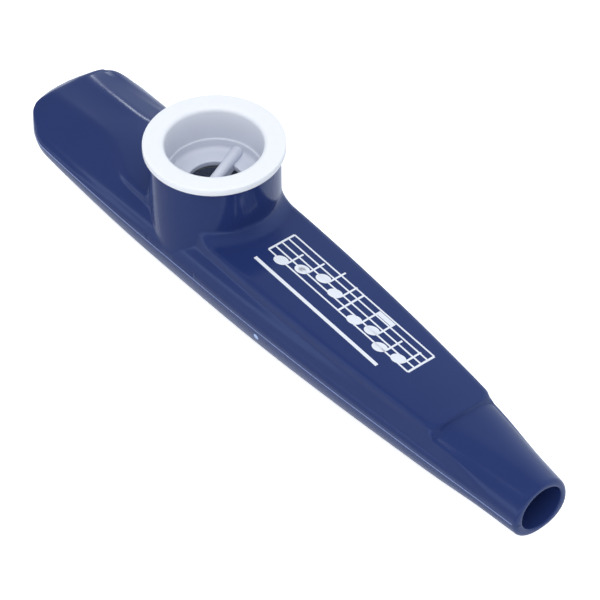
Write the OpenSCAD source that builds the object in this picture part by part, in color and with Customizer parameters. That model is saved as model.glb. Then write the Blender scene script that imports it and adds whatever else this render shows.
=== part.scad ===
// Toy kazoo: a long body in two moulded halves, wide and flat at the mouth end and round at the narrow end.
// A round turret near the mouth end takes a cap, which holds down the ring with the buzzing membrane.
// Lengths run along X from the mouth end, and heights are counted from the parting plane of the halves.
// At the end everything is moved so that the origin lies in the middle, under the flat of the lower shell.

/* [Body] */
// Overall length, mouth end to narrow end
body_len = 120; // [105:1:140]
// Greatest width, across the parting edge
body_w = 21.8; // [20:0.2:26]
// Height of the crown of the raised panel above the parting plane
crown_h = 6.95; // [6.5:0.05:8]
// Depth of the lower shell below the parting plane
lower_depth = 8.4; // [7.6:0.1:10]
// Thickness of the wall of both shells
shell_wall = 1.4; // [1:0.1:1.8]
// Radius of the two corners of the mouth end, seen from above
corner_r = 10; // [8:0.5:10.5]
// Radius of the soft edge round the raised panel
panel_edge_r = 1; // [0.5:0.1:1.4]
// Radius of the soft edge along each side
side_edge_r = 0.9; // [0.4:0.1:1.2]
// Distance of the step at the end of the panel from the narrow end
step_back = 18; // [16:0.5:22]
// Length over which the step falls
step_len = 0.5; // [0.3:0.1:1]
// Radius of the two corners of the panel at the step, seen from above
panel_corner_r = 1.6; // [1:0.1:2.5]
// Length over which the shoulders beside the panel fade out behind the step
shoulder_fade = 13; // [8:0.5:16]

/* [Mouth] */
// Width of the blowing slot
slot_w = 12; // [9:0.5:13]
// Height of the blowing slot
slot_h = 4.2; // [4:0.1:4.4]
// How far the middle of the slot lies below the parting plane
slot_drop = 0.4; // [0.2:0.1:0.6]
// Depth of the slot, until it opens into the hollow body
slot_len = 4; // [3:0.5:6]

/* [Narrow end] */
// Outer diameter of the round end
tube_d = 10.1; // [9.8:0.1:10.6]
// How far the axis of the round end lies above the parting plane
tube_rise = 0.65; // [0.4:0.05:0.8]
// Diameter of the bore in the round end
bore_d = 7.6; // [6:0.1:7.8]
// Length of the bore
bore_len = 14; // [10:1:16]

/* [Turret] */
// Distance of the turret's axis from the mouth end
turret_x = 42.4; // [40:0.5:50]
// How far the turret's wall lies inside the greatest width, on each side
turret_inset = 0.4; // [0.2:0.1:1]
// Wall of the turret
turret_wall = 1.65; // [1.4:0.05:2.4]
// Height of the turret's top above the parting plane
turret_top = 16.9; // [15:0.1:20]
// Height of the ledge that the membrane's ring lies on
seat_top = 7.4; // [7.1:0.1:8]
// Width of the ledge, between the turret's wall and the hole
seat_w = 3.25; // [2.8:0.05:4.5]
// Radius of the fillet where the turret leaves the panel
turret_fillet = 2.2; // [1.4:0.2:3]
// Radius of that fillet on the side of the mouth end
mouth_fillet = 1; // [0.6:0.1:2]

/* [Cap] */
// How far the flange stands out past the turret
flange_lip = 0.8; // [0.4:0.1:2]
// Thickness of the flange
flange_t = 1.3; // [1:0.1:2]
// Gap all round between the cup of the cap and the turret
cap_gap = 0.05; // [0.02:0.01:0.1]
// Wall of the cup
cup_wall = 1; // [0.8:0.1:1.4]
// Thickness of the floor of the cup
floor_t = 1; // [0.8:0.1:1.4]
// Diameter of the hole in the floor
cap_hole_d = 9; // [6:0.2:10]
// Radius of the soft inner edge of the rim
rim_r = 0.8; // [0.4:0.1:1]
// Height of the ring step inside the cup, above the floor
ledge_h = 2; // [1.4:0.1:3]
// Width of that step
ledge_w = 0.3; // [0.2:0.05:0.5]
// Width of the hollow that sinks the floor inside the step
dish_w = 0.7; // [0.4:0.1:1]
// Depth of that hollow
dish_h = 0.4; // [0.2:0.1:0.6]

/* [Grip bar] */
// Width of the bar across the hole
bar_w = 1.9; // [1.4:0.1:2.4]
// Height of the bar's top above the floor
bar_up = 1.1; // [0.6:0.1:2]
// Turn of the bar from the length of the body
bar_turn = 114; // [90:1:140]

/* [Membrane] */
// Gap all round between the ring and the turret
ring_gap = 0.25; // [0.1:0.05:0.5]
// Width of the ring, between its rim and its hole
ring_w = 2.8; // [2.2:0.1:3.6]
// Height of the ring
ring_h = 1.5; // [1:0.1:2]
// Thickness of the film
film_t = 0.1; // [0.06:0.02:0.2]

/* [Hidden] */
$fn = 96;

// One overrun for all cuts
over = 1;
// The lower shell is drawn this much too deep, and cut off flat to stand on
foot_trim = 0.16;
// The hollow body starts this much before the slot ends
slot_lap = 0.5;
// Points along each straight or round stretch of the ends of a section
dome_steps = 9;
crown_steps = 3;
bend_steps = 4;

// Places along the body, as shares of its length, at which the tables below hold
place_shares = [0, 0.03, 0.11, 0.25, 0.38, 0.53, 0.68, 0.80, 0.86, 0.93, 1];
// Half width there, as a share of half the greatest width; the last one follows the round end
half_shares = [0.978, 0.984, 0.999, 0.998, 0.959, 0.895, 0.789, 0.674, 0.614, 0.536];
// Depth of the lower shell there, as a share of its greatest depth
depth_shares = [0.4, 0.575, 0.79, 0.96, 1, 0.98, 0.858, 0.748, 0.678, 0.55];
// Side edge: how far out, as a share of the half width, and how high, as a share of the crown's height
side_y_shares = [0.83, 0.835, 0.875, 0.93, 0.953, 0.949, 0.942, 0.93, 0.925, 0.9, 0.9];
side_z_shares = [0.4, 0.39, 0.345, 0.42, 0.49, 0.475, 0.453, 0.43, 0.42, 0.4, 0.4];
// Foot of the panel's edge
foot_y_shares = [0.62, 0.62, 0.64, 0.775, 0.818, 0.857, 0.878, 0.886, 0.884, 0.85, 0.85];
foot_z_shares = [0.425, 0.445, 0.5, 0.655, 0.712, 0.698, 0.69, 0.688, 0.684, 0.68, 0.68];
// Top of the panel's edge
rim_y_shares = [0.335, 0.335, 0.33, 0.74, 0.792, 0.842, 0.868, 0.873, 0.855, 0.84, 0.84];
rim_z_shares = [0.45, 0.495, 0.64, 0.83, 0.975, 0.956, 0.93, 0.91, 0.9, 0.9, 0.9];
// Crown in the middle
crown_z_shares = [0.415, 0.46, 0.605, 0.87, 1, 0.978, 0.952, 0.932, 0.922, 0.92, 0.92];
// Height of the round part behind the step, as a share of the crown's height
dome_shares = [0.76, 0.76, 0.76, 0.76, 0.76, 0.76, 0.77, 0.8, 0.815, 0.83];
// How square its section is: 2 is round
square_shares = [2.6, 2.6, 2.6, 2.6, 2.6, 2.6, 2.6, 2.8, 3.2, 2.4, 2];
// Places of the sections that both shells are drawn through
station_shares = [
    0, 0.002, 0.007, 0.015, 0.027, 0.045, 0.07, 0.1, 0.13, 0.175, 0.22, 0.255, 0.30, 0.36,
    0.42, 0.445, 0.455, 0.47, 0.51, 0.57, 0.63, 0.69, 0.75, 0.80, 0.83
];
tail_shares = [0.1, 0.35, 0.7, 1];
panel_end_shares = [0, 0.5, 0.85, 1];
// Places of the sections of the hollow
hollow_shares = [0, 0.06, 0.15, 0.3, 0.45, 0.6, 0.75, 0.88, 1];

half_w = body_w / 2;
tube_r = tube_d / 2;
bore_r = bore_d / 2;
step_x = body_len - step_back;
turret_r = half_w - turret_inset;
well_r = turret_r - turret_wall;
flange_r = turret_r + flange_lip;
cup_r = well_r - cap_gap;
cup_bore_r = cup_r - cup_wall;
ring_r = well_r - ring_gap;
cap_bottom = seat_top + ring_h + film_t;
floor_top = cap_bottom + floor_t;
flange_top = turret_top + flange_t;
cap_hole_r = cap_hole_d / 2;

// Value at place t of a smooth line through the points (xs, ys)
function seat_of(t, xs, i = 1) = (i >= len(xs) - 1 || t < xs[i]) ? i : seat_of(t, xs, i + 1);
function slope(xs, ys, i) =
    i == 0 ? (ys[1] - ys[0]) / (xs[1] - xs[0])
    : i == len(xs) - 1 ? (ys[i] - ys[i - 1]) / (xs[i] - xs[i - 1])
    : (ys[i + 1] - ys[i - 1]) / (xs[i + 1] - xs[i - 1]);
function along(xs, ys, t) =
    let (i = seat_of(t, xs), w = xs[i] - xs[i - 1], u = (t - xs[i - 1]) / w)
    (1 + 2 * u) * (1 - u) * (1 - u) * ys[i - 1] + u * (1 - u) * (1 - u) * w * slope(xs, ys, i - 1)
    + u * u * (3 - 2 * u) * ys[i] - u * u * (1 - u) * w * slope(xs, ys, i);
function at(shares, x) = along(place_shares, shares, x / body_len);
function mix(a, b, u) = a + (b - a) * u;
function ramp(u) = u <= 0 ? 0 : u >= 1 ? 1 : u * u * (3 - 2 * u);

// Plan outline, with the round corners of the mouth end
function plain_half(x) = at(concat(half_shares, [tube_r / half_w]), x) * half_w;
function half_at(x) =
    x >= corner_r ? plain_half(x)
    : plain_half(x) - corner_r + sqrt(corner_r * corner_r - (corner_r - x) * (corner_r - x));
function depth_at(x) = at(concat(depth_shares, [(tube_r - tube_rise) / (lower_depth + foot_trim)]), x)
    * (lower_depth + foot_trim);
function dome_at(x) = at(concat(dome_shares, [(tube_r + tube_rise) / crown_h]), x) * crown_h;

// Three-point bend from a to c past the corner b, cut back by r
function toward(b, a, r) = b + (a - b) * min(r / norm(a - b), 0.45);
function bend(a, b, c, r) =
    let (p = toward(b, a, r), q = toward(b, c, r))
    [for (i = [0:bend_steps]) let (u = i / bend_steps)
        (1 - u) * (1 - u) * p + 2 * u * (1 - u) * b + u * u * q];

// Right half of the upper section with the panel, from the parting edge to the crown
function panel_cut(x) = x <= step_x - panel_corner_r ? 0
    : panel_corner_r - sqrt(max(0, panel_corner_r * panel_corner_r
        - pow(min(x, step_x) - step_x + panel_corner_r, 2)));
function panel_half(x) =
    let (w = half_at(x),
        edge = [w, 0],
        side = [w * at(side_y_shares, x), crown_h * at(side_z_shares, x)],
        foot = [w * at(foot_y_shares, x), crown_h * at(foot_z_shares, x)],
        rim = [w * at(rim_y_shares, x) - panel_cut(x), crown_h * at(rim_z_shares, x)],
        crown = [0, crown_h * at(crown_z_shares, x)],
        side_bend = bend(edge, side, foot, side_edge_r),
        rim_bend = bend(foot, rim, crown, panel_edge_r),
        last = rim_bend[bend_steps])
    concat([edge], side_bend, [foot], rim_bend,
        [for (i = [1:crown_steps]) let (u = 1 - i / crown_steps)
            [last[0] * u, crown[1] - (crown[1] - last[1]) * u * u]]);

// The same number of points on the plain round section behind the step
function dome_half(x) =
    let (w = half_at(x), h = dome_at(x), n = at(square_shares, x), count = 2 * bend_steps + crown_steps + 3)
    [for (i = [0:count]) let (a = 90 * i / count)
        [w * pow(cos(a), 2 / n), h * pow(sin(a), 2 / n)]];

// Rise of the fillet of radius r round the turret, at the distance d from its wall
function fillet_at(x) =
    mix(mouth_fillet, turret_fillet, ramp((x - turret_x) / turret_r / 1.5 + 0.5));
function fillet_rise(d, r) = d >= r ? 0 : r - sqrt(r * r - pow(r - max(d, 0), 2));
function filleted(p, x) =
    let (d = norm([x - turret_x, p[0]]) - turret_r)
    [p[0], p[1] + fillet_rise(d, fillet_at(x)) * ramp(p[1] / crown_h * 2 - 1)];

// The panel ends at the step, while the shoulder beside it fades out along the round part
function upper_half(x) =
    let (a = panel_half(x), b = dome_half(x),
        step = ramp((x - step_x) / step_len), fade = ramp((x - step_x) / shoulder_fade))
    [for (i = [0:len(a) - 1])
        mix(filleted(a[i], x), b[i], mix(fade, step, ramp((i - bend_steps - 1) / (bend_steps + 1))))];

// Left half of the lower section, from the parting edge to the keel
function lower_half(x) =
    let (w = half_at(x), h = depth_at(x), n = 2.15)
    [for (i = [0:dome_steps]) let (a = 90 * i / dome_steps)
        [-w * pow(cos(a), 2 / n), -h * pow(sin(a), 2 / n)]];

// A half section and its mirror image make one ring, which runs from edge to edge
function ring_of(half) = concat(half, [for (i = [len(half) - 2:-1:0]) [-half[i][0], half[i][1]]]);
// The same ring, drawn in by the wall on every side
function thinned(half, w, h) = [for (p = half) [p[0] * (w - shell_wall) / w, p[1] * (h - shell_wall) / h]];

stations = concat([for (s = station_shares) s * body_len],
    [for (s = panel_end_shares) step_x - panel_corner_r * (1 - s)],
    [step_x + step_len / 2, step_x + step_len],
    [for (s = tail_shares) step_x + step_len + (step_back - step_len) * s]);
hollow_start = slot_len - slot_lap;
hollow_end = body_len - bore_len;
hollow_stations = [for (s = hollow_shares) hollow_start + (hollow_end - hollow_start) * s];

// The roof of the hollow, smooth under the panel, the fillet and the step
function roof_at(x) =
    min(crown_h * at(crown_z_shares, x), mix(crown_h, dome_at(x), ramp(x / step_x * 4 - 3)));
function hollow_ring(x) =
    let (w = half_at(x) - shell_wall, top = roof_at(x) - shell_wall, low = depth_at(x) - shell_wall)
    concat(
        [for (i = [0:2 * dome_steps]) let (a = 90 * i / dome_steps)
            [w * sign(cos(a)) * pow(abs(cos(a)), 2 / 2.6), top * pow(abs(sin(a)), 2 / 2.6)]],
        [for (i = [1:2 * dome_steps - 1]) let (a = 180 + 90 * i / dome_steps)
            [w * sign(cos(a)) * pow(abs(cos(a)), 2 / 2.15), -low * pow(abs(sin(a)), 2 / 2.15)]]);

// A closed skin through a row of rings, all with the same number of points
module skin(places, rings) {
    n = len(rings[0]);
    last = len(rings) - 1;
    polyhedron(
        points = [for (j = [0:last]) for (p = rings[j]) [places[j], p[0], p[1]]],
        faces = concat(
            [[for (i = [0:n - 1]) i]],
            [for (j = [0:last - 1]) for (i = [0:n - 1])
                [j * n + i, (j + 1) * n + (i + 1) % n, j * n + (i + 1) % n]],
            [for (j = [0:last - 1]) for (i = [0:n - 1])
                [j * n + i, (j + 1) * n + i, (j + 1) * n + (i + 1) % n]],
            [[for (i = [n - 1:-1:0]) last * n + i]]));
}

// From the parting plane and the mouth end to the part's own origin
module seated() {
    translate([-body_len / 2, 0, lower_depth]) children();
}

module at_turret(height) {
    translate([turret_x, 0, height]) children();
}

module hollow() {
    skin(hollow_stations, [for (x = hollow_stations) hollow_ring(x)]);
}

// The slot in the mouth end, with round ends
module slot() {
    translate([-over, 0, -slot_drop]) rotate([90, 0, 90]) linear_extrude(slot_len + over) {
        square([slot_w - slot_h, slot_h], center = true);
        for (side = [-1, 1]) translate([side * (slot_w - slot_h) / 2, 0]) circle(d = slot_h);
    }
}

module bore() {
    translate([hollow_end - over, 0, tube_rise]) rotate([0, 90, 0])
        cylinder(r = bore_r, h = bore_len + 2 * over);
}

module upper_shell() {
    color("midnightblue") seated() difference() {
        union() {
            skin(stations, [for (x = stations) ring_of(upper_half(x))]);
            at_turret(0) cylinder(r = turret_r, h = turret_top);
        }
        hollow();
        slot();
        bore();
        at_turret(0) cylinder(r = well_r - seat_w, h = turret_top);
        at_turret(seat_top) cylinder(r = well_r, h = turret_top);
    }
}

module lower_shell() {
    color("midnightblue") seated() difference() {
        skin(stations, [for (x = stations) ring_of(lower_half(x))]);
        hollow();
        slot();
        bore();
        translate([-over, -half_w - over, -lower_depth - foot_trim - over])
            cube([body_len + 2 * over, body_w + 2 * over, foot_trim + over]);
    }
}

// Half profile of the cap: floor, cup and flange, with the soft inner edge of the rim
module cap_profile() {
    polygon(concat(
        [[cap_hole_r, cap_bottom], [cup_r, cap_bottom], [cup_r, turret_top], [flange_r, turret_top],
            [flange_r, flange_top]],
        [for (i = [0:bend_steps]) let (a = 90 * i / bend_steps)
            [cup_bore_r + rim_r * (1 - sin(a)), flange_top - rim_r * (1 - cos(a))]],
        [[cup_bore_r, floor_top + ledge_h], [cup_bore_r - ledge_w, floor_top + ledge_h],
            [cup_bore_r - ledge_w, floor_top + dish_h], [cup_bore_r - ledge_w - dish_w, floor_top],
            [cap_hole_r, floor_top]]));
}

// The bar lies across the hole and reaches into the cup's wall at both ends
module grip_bar() {
    bar_len = 2 * cup_bore_r;
    bar_h = floor_t + bar_up - bar_w / 2;
    rotate([0, 0, bar_turn]) translate([-bar_len / 2, 0, 0]) {
        translate([0, -bar_w / 2, 0]) cube([bar_len, bar_w, bar_h]);
        translate([0, 0, bar_h]) rotate([0, 90, 0]) cylinder(d = bar_w, h = bar_len);
    }
}

module turret_cap() {
    color("white") seated() {
        at_turret(0) rotate_extrude() cap_profile();
        at_turret(cap_bottom) grip_bar();
    }
}

module membrane_ring() {
    color("lightgray") seated() at_turret(seat_top) difference() {
        cylinder(r = ring_r, h = ring_h);
        translate([0, 0, -over]) cylinder(r = ring_r - ring_w, h = ring_h + 2 * over);
    }
}

module membrane_film() {
    color("ghostwhite") seated() at_turret(seat_top + ring_h) cylinder(r = ring_r, h = film_t);
}

upper_shell();
lower_shell();
turret_cap();
membrane_ring();
membrane_film();
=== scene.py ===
# %% [markdown]
# A plastic kazoo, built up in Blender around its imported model.
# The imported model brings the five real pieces: the two halves of the body, the cap in the turret, and the ring
# with its film. Their places and sizes are settled there. What is made here is what the eye sees: soft edges,
# the blend of the turret into the body, the fine seam, and the plastics themselves.
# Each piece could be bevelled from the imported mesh, but that mesh is coarse, so each one is drawn anew
# from the same sizes, with many more points, and stands in the same place.

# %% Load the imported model
import math

import bmesh
import bpy
import numpy as np
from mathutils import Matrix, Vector


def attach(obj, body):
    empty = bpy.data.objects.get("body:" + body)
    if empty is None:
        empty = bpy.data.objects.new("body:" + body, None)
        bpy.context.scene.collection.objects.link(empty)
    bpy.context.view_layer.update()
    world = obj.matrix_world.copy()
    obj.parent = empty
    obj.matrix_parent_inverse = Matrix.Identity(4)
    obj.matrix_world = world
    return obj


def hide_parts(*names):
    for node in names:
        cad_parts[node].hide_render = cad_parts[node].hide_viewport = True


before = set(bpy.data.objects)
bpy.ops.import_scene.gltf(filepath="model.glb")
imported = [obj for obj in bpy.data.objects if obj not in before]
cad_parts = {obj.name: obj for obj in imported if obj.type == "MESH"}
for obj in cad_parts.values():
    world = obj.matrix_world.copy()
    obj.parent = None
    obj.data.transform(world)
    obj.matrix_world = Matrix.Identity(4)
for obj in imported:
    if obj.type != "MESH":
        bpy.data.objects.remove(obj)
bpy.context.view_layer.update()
print("nodes:", sorted(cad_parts))

# %% [markdown]
# All sizes below are in millimetres, counted the way a mould maker would: along the body from the mouth end,
# and up from the plane where the two halves meet. One small function carries them into the scene's metres.

# %% Sizes shared by all pieces
BODY_LEN = 120.0
HALF_W = 10.9
CROWN_H = 6.95
LOWER_DEPTH = 8.4
TURRET_X = 42.4
TURRET_R = 10.5
TURRET_TOP = 16.9
WELL_R = 8.85
SEAT_TOP = 7.4


def to_scene(x, y, z):
    return ((x - BODY_LEN / 2) / 1000, y / 1000, (z + LOWER_DEPTH) / 1000)


print("turret axis stands at", to_scene(TURRET_X, 0, 0))

# %% [markdown]
# The camera looks down at 45 degrees from the front right, with a long lens, as a product photo is taken.
# A long lens keeps the far end nearly as large as the near end, so the taper that shows is the real one.

# %% Camera
AIM = (63.88, -0.09, 0)
AWAY = 0.45
FOCAL_PIXELS, FRAME_PIXELS, SENSOR_MM = 2877.4, 600, 36
turn = math.radians(51.2)
tilt = math.radians(44.84)
back = Vector((math.sin(turn) * math.cos(tilt), -math.cos(turn) * math.cos(tilt), math.sin(tilt)))
camera_data = bpy.data.cameras.new("camera")
camera_data.sensor_width = SENSOR_MM
camera_data.lens = FOCAL_PIXELS / FRAME_PIXELS * SENSOR_MM
camera_data.clip_start = 0.01
camera_data.clip_end = 5
camera = bpy.data.objects.new("camera", camera_data)
camera.location = Vector(to_scene(*AIM)) + back * AWAY
camera.rotation_euler = back.to_track_quat("Z", "Y").to_euler()
bpy.context.scene.collection.objects.link(camera)
bpy.context.scene.camera = camera
bpy.context.scene.view_settings.view_transform = "Standard"
print("lens:", round(camera_data.lens, 1), "mm")

# %% [markdown]
# The room is a white sweep, as in a small photo booth, and the camera sees pure white all round. Shiny plastic
# mirrors a dimmer, bluer room: darkest overhead, lighter low down, and white only toward the far side. That
# keeps the deck of the kazoo dark while the edges that face away shine. A wide soft lamp high on the near side
# gives most of the light. It isn't mirrored, or it would lie on the deck as a white patch. A small lamp
# behind lights the crests of the mouthpiece, and a weak one on the left draws a long soft highlight.
# All of it could be a picture of a studio wrapped round the scene, but lamps are easier to move one by one.

# %% Room and lamps
world = bpy.data.worlds.new("white_room")
bpy.context.scene.world = world
world.use_nodes = True
nodes, links = world.node_tree.nodes, world.node_tree.links
nodes.clear()
way = nodes.new("ShaderNodeTexCoord")
split = nodes.new("ShaderNodeSeparateXYZ")
links.new(way.outputs["Generated"], split.inputs[0])


def by_axis(axis, low, high, at_low, at_high):
    fade = nodes.new("ShaderNodeMapRange")
    fade.interpolation_type = "SMOOTHSTEP"
    fade.inputs["From Min"].default_value = low
    fade.inputs["From Max"].default_value = high
    fade.inputs["To Min"].default_value = at_low
    fade.inputs["To Max"].default_value = at_high
    links.new(split.outputs[axis], fade.inputs["Value"])
    return fade.outputs["Result"]


def worked_out(operation, a, b):
    step = nodes.new("ShaderNodeMath")
    step.operation = operation
    links.new(a, step.inputs[0])
    links.new(b, step.inputs[1])
    return step.outputs[0]


room_light = nodes.new("ShaderNodeBackground")
room_light.inputs["Color"].default_value = (0.86, 0.93, 1.06, 1)
room_light.inputs["Strength"].default_value = 0.80
room_mirrored = nodes.new("ShaderNodeBackground")
room_mirrored.inputs["Color"].default_value = (0.82, 0.90, 1.08, 1)
higher = by_axis("Z", 0.0, 0.30, 0.46, 0.28)
farther = by_axis("Y", -0.10, 1.0, 0.0, 1.10)
links.new(worked_out("MAXIMUM", higher, farther), room_mirrored.inputs["Strength"])
room_seen = nodes.new("ShaderNodeBackground")
room_seen.inputs["Color"].default_value = (1, 1, 1, 1)
room_seen.inputs["Strength"].default_value = 1.0


def choose(which, otherwise, chosen):
    choice = nodes.new("ShaderNodeMixShader")
    links.new(which, choice.inputs["Fac"])
    links.new(otherwise.outputs[0], choice.inputs[1])
    links.new(chosen.outputs[0], choice.inputs[2])
    return choice


ray = nodes.new("ShaderNodeLightPath")
direct = worked_out("MAXIMUM", ray.outputs["Is Camera Ray"], ray.outputs["Is Transmission Ray"])
indirect = choose(ray.outputs["Is Glossy Ray"], room_light, room_mirrored)
room = choose(direct, indirect, room_seen)
room_out = nodes.new("ShaderNodeOutputWorld")
links.new(room.outputs[0], room_out.inputs["Surface"])


def lamp(name, place, size, brightness):
    data = bpy.data.lights.new(name, "AREA")
    data.shape = "RECTANGLE"
    data.size, data.size_y = size
    data.energy = brightness * math.pi * size[0] * size[1]
    obj = bpy.data.objects.new(name, data)
    obj.location = place
    obj.rotation_euler = Vector(place).to_track_quat("Z", "Y").to_euler()
    bpy.context.scene.collection.objects.link(obj)
    print(name, "shines", round(data.energy, 2), "W from", place)
    return obj


lamp_front = lamp("lamp_front", (0.28, -0.33, 0.80), (0.70, 0.70), 2.2)
lamp_front.visible_glossy = False
lamp("lamp_behind", (-0.666, 0.468, 0.387), (0.05, 0.06), 9.0)
lamp("lamp_left", (-0.34, -0.58, 0.45), (0.16, 0.40), 0.75)

# %% [markdown]
# The kazoo stands on a white table. The table is a plain sheet that takes light and shadow like any other,
# but for the camera it glows a little, so that it melts into the white room. Only in its mirror image on the
# plastic does the table carry a darker belt on the near side: that belt is painted shade, and it draws the
# darker bands on the sides of the body. A dark card on the table would do the same, but it would show in the
# picture.

# %% Table
TABLE_REACH = 1.6
TABLE_GLOW = 0.72
BELT_SCALE = -10
BELT_FROM, BELT_TO = 0.135, 0.52
PAINTED_SHADE_STOPS = ((0.19, 0.46), (0.31, 0.42))
table_mesh = bpy.data.meshes.new("table")
table_corners = [(TABLE_REACH * x, TABLE_REACH * y, 0) for x, y in ((-1, -1), (1, -1), (1, 1), (-1, 1))]
table_mesh.from_pydata(table_corners, [], [(0, 1, 2, 3)])
table = bpy.data.objects.new("table", table_mesh)
bpy.context.scene.collection.objects.link(table)
table_white = bpy.data.materials.new("table_white")
table_white.use_nodes = True
nodes, links = table_white.node_tree.nodes, table_white.node_tree.links
nodes.clear()
sheet = nodes.new("ShaderNodeBsdfDiffuse")
spot = nodes.new("ShaderNodeTexCoord")
aside = nodes.new("ShaderNodeSeparateXYZ")
links.new(spot.outputs["Object"], aside.inputs[0])
before_it = nodes.new("ShaderNodeMath")
before_it.operation = "MULTIPLY"
before_it.inputs[1].default_value = BELT_SCALE
links.new(aside.outputs["Y"], before_it.inputs[0])
# painted shade: a darker belt in the table's colour that only reflected rays see; it draws the darker bands on
# the body's sides
mirrored_shade_belt = nodes.new("ShaderNodeValToRGB")
mirrored_shade_belt.color_ramp.interpolation = "EASE"
mirrored_shade_belt.color_ramp.elements[0].position = BELT_FROM
mirrored_shade_belt.color_ramp.elements[0].color = (0.86, 0.89, 0.95, 1)
mirrored_shade_belt.color_ramp.elements[1].position = BELT_TO
mirrored_shade_belt.color_ramp.elements[1].color = (0.84, 0.90, 1.0, 1)
for place, share in PAINTED_SHADE_STOPS:
    stop = mirrored_shade_belt.color_ramp.elements.new(place)
    stop.color = (share, share, share * 1.1, 1)
links.new(before_it.outputs[0], mirrored_shade_belt.inputs["Fac"])
path = nodes.new("ShaderNodeLightPath")
seen_as = nodes.new("ShaderNodeMix")
seen_as.data_type = "RGBA"
seen_as.inputs["A"].default_value = (0.86, 0.86, 0.86, 1)
links.new(path.outputs["Is Glossy Ray"], seen_as.inputs["Factor"])
links.new(mirrored_shade_belt.outputs["Color"], seen_as.inputs["B"])
links.new(seen_as.outputs["Result"], sheet.inputs["Color"])
glow = nodes.new("ShaderNodeEmission")
glow.inputs["Color"].default_value = (1, 1, 1, 1)
glow_share = nodes.new("ShaderNodeMath")
glow_share.operation = "MULTIPLY"
glow_share.inputs[1].default_value = TABLE_GLOW
both = nodes.new("ShaderNodeAddShader")
table_out = nodes.new("ShaderNodeOutputMaterial")
links.new(path.outputs["Is Camera Ray"], glow_share.inputs[0])
links.new(glow_share.outputs[0], glow.inputs["Strength"])
links.new(sheet.outputs[0], both.inputs[0])
links.new(glow.outputs[0], both.inputs[1])
links.new(both.outputs[0], table_out.inputs["Surface"])
table_mesh.materials.append(table_white)
print("table reaches", TABLE_REACH, "m each way")

# %% [markdown]
# The body is polished navy plastic. A real moulding isn't one flat colour: the dye is a touch uneven, the
# gloss changes where the mould was less polished, and handling leaves hair scratches. So noise moves the
# colour a little, a finer noise moves the roughness, and a stretched noise makes the scratches.
# A picture could give all that, but noise in the material has no seams and works on any shape. The same
# recipe, paler and duller, makes the painted highlight on the seam bead and the scar where the mould was filled.

# %% Finish: navy plastic


def plastic(name, deep, pale, rough, bump_depth, scratch_share):
    mat = bpy.data.materials.new(name)
    mat.use_nodes = True
    nodes, links = mat.node_tree.nodes, mat.node_tree.links
    shell = nodes["Principled BSDF"]
    place = nodes.new("ShaderNodeTexCoord")

    cloud = nodes.new("ShaderNodeTexNoise")
    cloud.inputs["Scale"].default_value = 70
    cloud.inputs["Detail"].default_value = 3
    links.new(place.outputs["Object"], cloud.inputs["Vector"])
    dye = nodes.new("ShaderNodeMix")
    dye.data_type = "RGBA"
    dye.inputs["A"].default_value = (*deep, 1)
    dye.inputs["B"].default_value = (*pale, 1)
    links.new(cloud.outputs["Fac"], dye.inputs["Factor"])
    links.new(dye.outputs["Result"], shell.inputs["Base Color"])

    mist = nodes.new("ShaderNodeTexNoise")
    mist.inputs["Scale"].default_value = 260
    mist.inputs["Detail"].default_value = 4
    links.new(place.outputs["Object"], mist.inputs["Vector"])
    polish = nodes.new("ShaderNodeMapRange")
    polish.inputs["From Min"].default_value = 0.3
    polish.inputs["From Max"].default_value = 0.7
    polish.inputs["To Min"].default_value = rough * 0.93
    polish.inputs["To Max"].default_value = rough * 1.10
    links.new(mist.outputs["Fac"], polish.inputs["Value"])

    stretch = nodes.new("ShaderNodeMapping")
    stretch.inputs["Scale"].default_value = (120, 1500, 1500)
    stretch.inputs["Rotation"].default_value = (0, 0, 0.35)
    links.new(place.outputs["Object"], stretch.inputs["Vector"])
    hairs = nodes.new("ShaderNodeTexNoise")
    hairs.inputs["Scale"].default_value = 1
    hairs.inputs["Detail"].default_value = 2
    links.new(stretch.outputs["Vector"], hairs.inputs["Vector"])
    hair_lines = nodes.new("ShaderNodeMapRange")
    hair_lines.inputs["From Min"].default_value = 0.68
    hair_lines.inputs["From Max"].default_value = 0.78
    hair_lines.inputs["To Min"].default_value = 0
    hair_lines.inputs["To Max"].default_value = scratch_share
    links.new(hairs.outputs["Fac"], hair_lines.inputs["Value"])
    worn = nodes.new("ShaderNodeMath")
    worn.operation = "ADD"
    links.new(polish.outputs["Result"], worn.inputs[0])
    links.new(hair_lines.outputs["Result"], worn.inputs[1])
    links.new(worn.outputs[0], shell.inputs["Roughness"])

    skin = nodes.new("ShaderNodeTexNoise")
    skin.inputs["Scale"].default_value = 900
    skin.inputs["Detail"].default_value = 2
    links.new(place.outputs["Object"], skin.inputs["Vector"])
    relief = nodes.new("ShaderNodeBump")
    relief.inputs["Strength"].default_value = 0.12
    relief.inputs["Distance"].default_value = bump_depth
    links.new(skin.outputs["Fac"], relief.inputs["Height"])
    links.new(relief.outputs["Normal"], shell.inputs["Normal"])
    shell.inputs["IOR"].default_value = 1.49
    # painted reflection tint: the reflections are tinted blue, standing in for the bluish light of the room
    shell.inputs["Specular Tint"].default_value = (0.70, 0.83, 1.0, 1)
    print("finish", name, "roughness about", rough)
    return mat


navy = plastic("navy_plastic", (0.017, 0.031, 0.118), (0.021, 0.037, 0.136), 0.15, 0.00003, 0.05)
# painted highlight: the pale colour of the seam bead stands in for the bright line of light along the seam
seam_highlight_paint = plastic("seam_painted_highlight", (0.19, 0.24, 0.46), (0.28, 0.34, 0.58), 0.3, 0.00003, 0.05)
pale_scar = plastic("pale_scar", (0.38, 0.52, 0.80), (0.48, 0.62, 0.88), 0.4, 0.00003, 0.05)
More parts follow.
